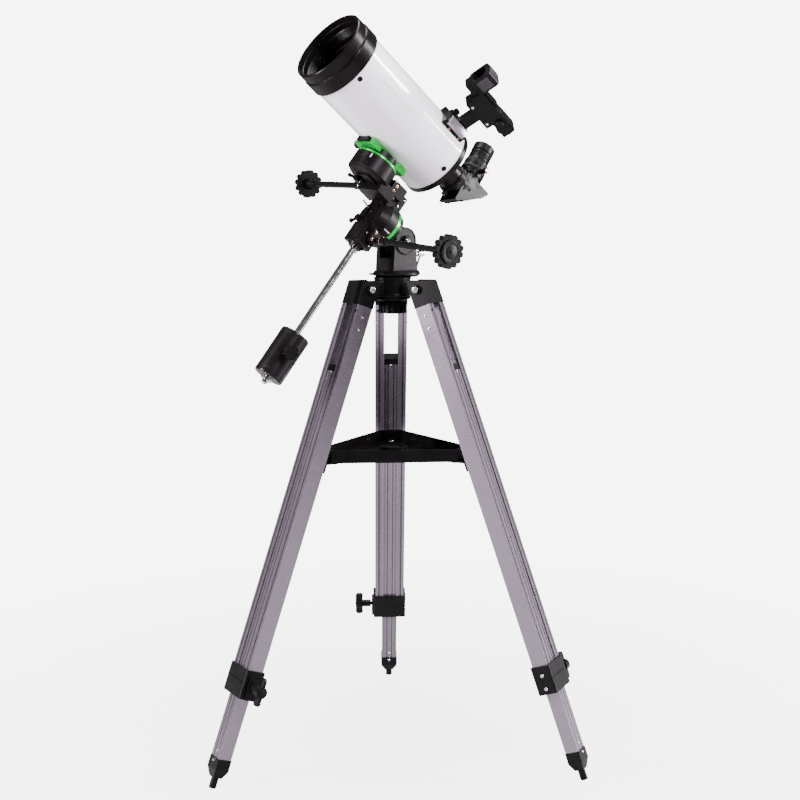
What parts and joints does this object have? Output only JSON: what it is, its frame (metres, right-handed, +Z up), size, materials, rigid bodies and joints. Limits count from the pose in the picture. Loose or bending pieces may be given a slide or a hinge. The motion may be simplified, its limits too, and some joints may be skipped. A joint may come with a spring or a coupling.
{
  "type": "maksutov telescope",
  "caption": "Short closed-tube Maksutov telescope on a small equatorial mount with a counterweight, on an extending aluminium tripod with a tray; reflex finder, star diagonal and eyepiece",
  "frame": {"origin": "middle of the bounding box at ground level", "axes": "+Z up; -Y toward the open front of the tripod, between its two front legs; +X to the right seen from there"},
  "size_m": [0.5596, 0.5186, 1.1048],
  "materials": {
    "white_paint": "white gloss paint",
    "black_cell": "black satin anodised",
    "black_casting": "black powder coat",
    "black_plastic": "black moulded plastic",
    "tray_plastic": "black glossy moulding",
    "green_anodised": "bright green anodised",
    "leg_aluminium": "satin anodised extrusion",
    "chrome": "polished",
    "cast_weight": "black paint",
    "lever_metal": "black paint",
    "screw_steel": "plated",
    "cover_plate": "satin plate",
    "lens_glass": "coated glass",
    "mirror_glass": "aluminised glass"
  },
  "bodies": {
    "tripod": {"tripod_hub": "black_plastic", "leg_hinge_bolts": "chrome", "accessory_tray": "tray_plastic", "tray_arms": "black_plastic", "leg_bracket_rear": "black_plastic", "leg_rails_rear": "leg_aluminium", "leg_clamp_rear": "black_plastic", "leg_bracket_left": "black_plastic", "leg_rails_left": "leg_aluminium", "leg_clamp_left": "black_plastic", "leg_bracket_right": "black_plastic", "leg_rails_right": "leg_aluminium", "leg_clamp_right": "black_plastic"},
    "inner_leg_rear": {"inner_leg_rear": "leg_aluminium", "inner_leg_ends_rear": "black_plastic"},
    "clamp_wing_screw_rear": {"clamp_wing_screw_rear": "black_plastic"},
    "inner_leg_left": {"inner_leg_left": "leg_aluminium", "inner_leg_ends_left": "black_plastic"},
    "clamp_wing_screw_left": {"clamp_wing_screw_left": "black_plastic"},
    "inner_leg_right": {"inner_leg_right": "leg_aluminium", "inner_leg_ends_right": "black_plastic"},
    "clamp_wing_screw_right": {"clamp_wing_screw_right": "black_plastic"},
    "azimuth_knob": {"azimuth_knob": "black_plastic"},
    "mount_base": {"mount_base": "black_casting"},
    "altitude_bolt": {"altitude_bolt": "chrome"},
    "latitude_housing": {"latitude_housing": "black_casting", "altitude_pivot": "black_plastic"},
    "ra_setting_circle": {"ra_setting_circle": "green_anodised"},
    "ra_body": {"ra_body": "black_casting", "counterweight_shaft": "chrome", "shaft_stop": "chrome"},
    "ra_handle": {"ra_handle": "black_plastic"},
    "dec_handle": {"dec_handle": "black_plastic"},
    "ra_lock_lever": {"ra_lock_lever": "lever_metal"},
    "dec_lock_lever": {"dec_lock_lever": "lever_metal"},
    "counterweight": {"counterweight": "cast_weight"},
    "counterweight_knob": {"counterweight_knob": "black_plastic"},
    "dec_setting_circle": {"dec_setting_circle": "green_anodised"},
    "dec_table": {"dec_table": "black_casting", "saddle": "green_anodised"},
    "saddle_screw": {"saddle_screw": "lever_metal"},
    "optical_tube": {"dovetail_bar": "black_cell", "optical_tube": "white_paint", "front_cell": "black_cell", "corrector_lens": "lens_glass", "secondary_baffle": "black_cell", "rear_cell": "black_cell", "baffle_tube": "black_cell", "visual_back": "black_cell", "finder_bracket": "black_plastic", "finder_body": "black_plastic"},
    "primary_mirror": {"primary_mirror": "mirror_glass"},
    "focus_knob": {"focus_knob": "black_plastic"},
    "back_thumbscrew_1": {"back_thumbscrew_1": "screw_steel"},
    "back_thumbscrew_2": {"back_thumbscrew_2": "screw_steel"},
    "star_diagonal": {"star_diagonal": "black_plastic", "diagonal_cover": "cover_plate"},
    "eyepiece_screw": {"eyepiece_screw": "screw_steel"},
    "eyepiece": {"eyepiece": "black_plastic"},
    "finder_switch": {"finder_switch": "black_plastic"}
  },
  "joints": [
    {"name": "azimuth", "type": "hinge", "parent": "tripod", "child": "mount_base", "pos_m": [0, -0.06039, 0.732], "axis": [0, 0, 1], "continuous": true},
    {"name": "azimuth_knob_turn", "type": "hinge", "parent": "tripod", "child": "azimuth_knob", "pos_m": [0, -0.06039, 0.689], "axis": [0, 0, 1], "continuous": true},
    {"name": "altitude", "type": "hinge", "parent": "mount_base", "child": "latitude_housing", "pos_m": [0.0064, -0.0552, 0.7854], "axis": [0.6299, -0.7767, 0], "range_deg": [-25, 12]},
    {"name": "altitude_bolt_turn", "type": "hinge", "parent": "mount_base", "child": "altitude_bolt", "pos_m": [0.03747, -0.03, 0.7654], "axis": [0.7767, 0.6299, 0], "continuous": true},
    {"name": "ra_circle_turn", "type": "hinge", "parent": "latitude_housing", "child": "ra_setting_circle", "pos_m": [-0.01206, -0.07016, 0.80403], "axis": [-0.6112, -0.4957, 0.617], "continuous": true},
    {"name": "ra", "type": "hinge", "parent": "latitude_housing", "child": "ra_body", "pos_m": [-0.02758, -0.08275, 0.81971], "axis": [-0.6112, -0.4957, 0.617], "range_deg": [-90, 90]},
    {"name": "ra_handle_turn", "type": "hinge", "parent": "ra_body", "child": "ra_handle", "pos_m": [-0.02156, -0.11198, 0.78663], "axis": [0.5756, -0.8135, -0.0833], "continuous": true},
    {"name": "dec_handle_turn", "type": "hinge", "parent": "ra_body", "child": "dec_handle", "pos_m": [-0.04371, -0.06229, 0.86767], "axis": [-0.5315, 0.8461, 0.0401], "continuous": true},
    {"name": "ra_lock_lever_turn", "type": "hinge", "parent": "ra_body", "child": "ra_lock_lever", "pos_m": [-0.04791, -0.07967, 0.81728], "axis": [-0.6112, -0.4957, 0.617], "range_deg": [-30, 30]},
    {"name": "dec_lock_lever_turn", "type": "hinge", "parent": "ra_body", "child": "dec_lock_lever", "pos_m": [-0.04923, -0.08588, 0.88068], "axis": [-0.5433, -0.3042, -0.7825], "range_deg": [-30, 30]},
    {"name": "counterweight_slide", "type": "slide", "parent": "ra_body", "child": "counterweight", "axis": [0.5433, 0.3042, 0.7825], "range_m": [-0.002, 0.145]},
    {"name": "counterweight_knob_turn", "type": "hinge", "parent": "counterweight", "child": "counterweight_knob", "pos_m": [-0.15406, -0.17612, 0.62944], "axis": [0.3585, -0.9269, 0.1114], "continuous": true},
    {"name": "dec", "type": "hinge", "parent": "ra_body", "child": "dec_table", "pos_m": [-0.02437, -0.08853, 0.89831], "axis": [0.5433, 0.3042, 0.7825], "continuous": true},
    {"name": "dec_circle_turn", "type": "hinge", "parent": "ra_body", "child": "dec_setting_circle", "pos_m": [-0.02437, -0.08853, 0.89831], "axis": [0.5433, 0.3042, 0.7825], "continuous": true},
    {"name": "saddle_screw_turn", "type": "hinge", "parent": "dec_table", "child": "saddle_screw", "pos_m": [-0.04818, -0.07492, 0.92744], "axis": [-0.547, 0.8353, 0.0551], "continuous": true},
    {"name": "tube_slide", "type": "slide", "parent": "dec_table", "child": "optical_tube", "axis": [-0.6369, -0.458, 0.6202], "range_m": [-0.015, 0.015]},
    {"name": "focus_knob_turn", "type": "hinge", "parent": "optical_tube", "child": "focus_knob", "pos_m": [0.0534, 0.007, 0.88829], "axis": [-0.6369, -0.458, 0.6202], "range_deg": [-1080, 1080]},
    {"name": "mirror_focus", "type": "slide", "parent": "optical_tube", "child": "primary_mirror", "axis": [-0.6369, -0.458, 0.6202], "range_m": [-0.0075, 0.0075]},
    {"name": "back_thumbscrew_1_turn", "type": "hinge", "parent": "optical_tube", "child": "back_thumbscrew_1", "pos_m": [0.11329, -0.00807, 0.89432], "axis": [0.6976, 0.0002, 0.7165], "continuous": true},
    {"name": "back_thumbscrew_2_turn", "type": "hinge", "parent": "optical_tube", "child": "back_thumbscrew_2", "pos_m": [0.08314, -0.01546, 0.85789], "axis": [-0.5433, -0.3042, -0.7825], "continuous": true},
    {"name": "diagonal_turn", "type": "hinge", "parent": "optical_tube", "child": "star_diagonal", "pos_m": [0.10016, -0.00533, 0.87318], "axis": [-0.6369, -0.458, 0.6202], "range_deg": [-90, 90]},
    {"name": "eyepiece_slide", "type": "slide", "parent": "star_diagonal", "child": "eyepiece", "axis": [0.44, 0.4446, 0.7802], "range_m": [0, 0.02]},
    {"name": "eyepiece_screw_turn", "type": "hinge", "parent": "star_diagonal", "child": "eyepiece_screw", "pos_m": [0.13957, 0.00287, 0.88987], "axis": [0.633, -0.7698, 0.0817], "continuous": true},
    {"name": "finder_dial_turn", "type": "hinge", "parent": "optical_tube", "child": "finder_switch", "pos_m": [0.17443, -0.06235, 0.94765], "axis": [0.6369, 0.458, -0.6202], "range_deg": [0, 270]},
    {"name": "leg_slide_rear", "type": "slide", "parent": "tripod", "child": "inner_leg_rear", "axis": [0, 0.3437, -0.9391], "range_m": [-0.08, 0.4]},
    {"name": "clamp_wing_screw_rear_turn", "type": "hinge", "parent": "tripod", "child": "clamp_wing_screw_rear", "pos_m": [-0.04, 0.19949, 0.14966], "axis": [-1, 0, 0], "continuous": true},
    {"name": "leg_slide_left", "type": "slide", "parent": "tripod", "child": "inner_leg_left", "axis": [-0.2976, -0.1718, -0.9391], "range_m": [-0.08, 0.4]},
    {"name": "clamp_wing_screw_left_turn", "type": "hinge", "parent": "tripod", "child": "clamp_wing_screw_left", "pos_m": [-0.20506, -0.22498, 0.14966], "axis": [0.5, -0.866, 0], "continuous": true},
    {"name": "leg_slide_right", "type": "slide", "parent": "tripod", "child": "inner_leg_right", "axis": [0.2976, -0.1718, -0.9391], "range_m": [-0.08, 0.4]},
    {"name": "clamp_wing_screw_right_turn", "type": "hinge", "parent": "tripod", "child": "clamp_wing_screw_right", "pos_m": [0.24507, -0.1557, 0.14966], "axis": [0.5, 0.866, 0], "continuous": true}
  ]
}
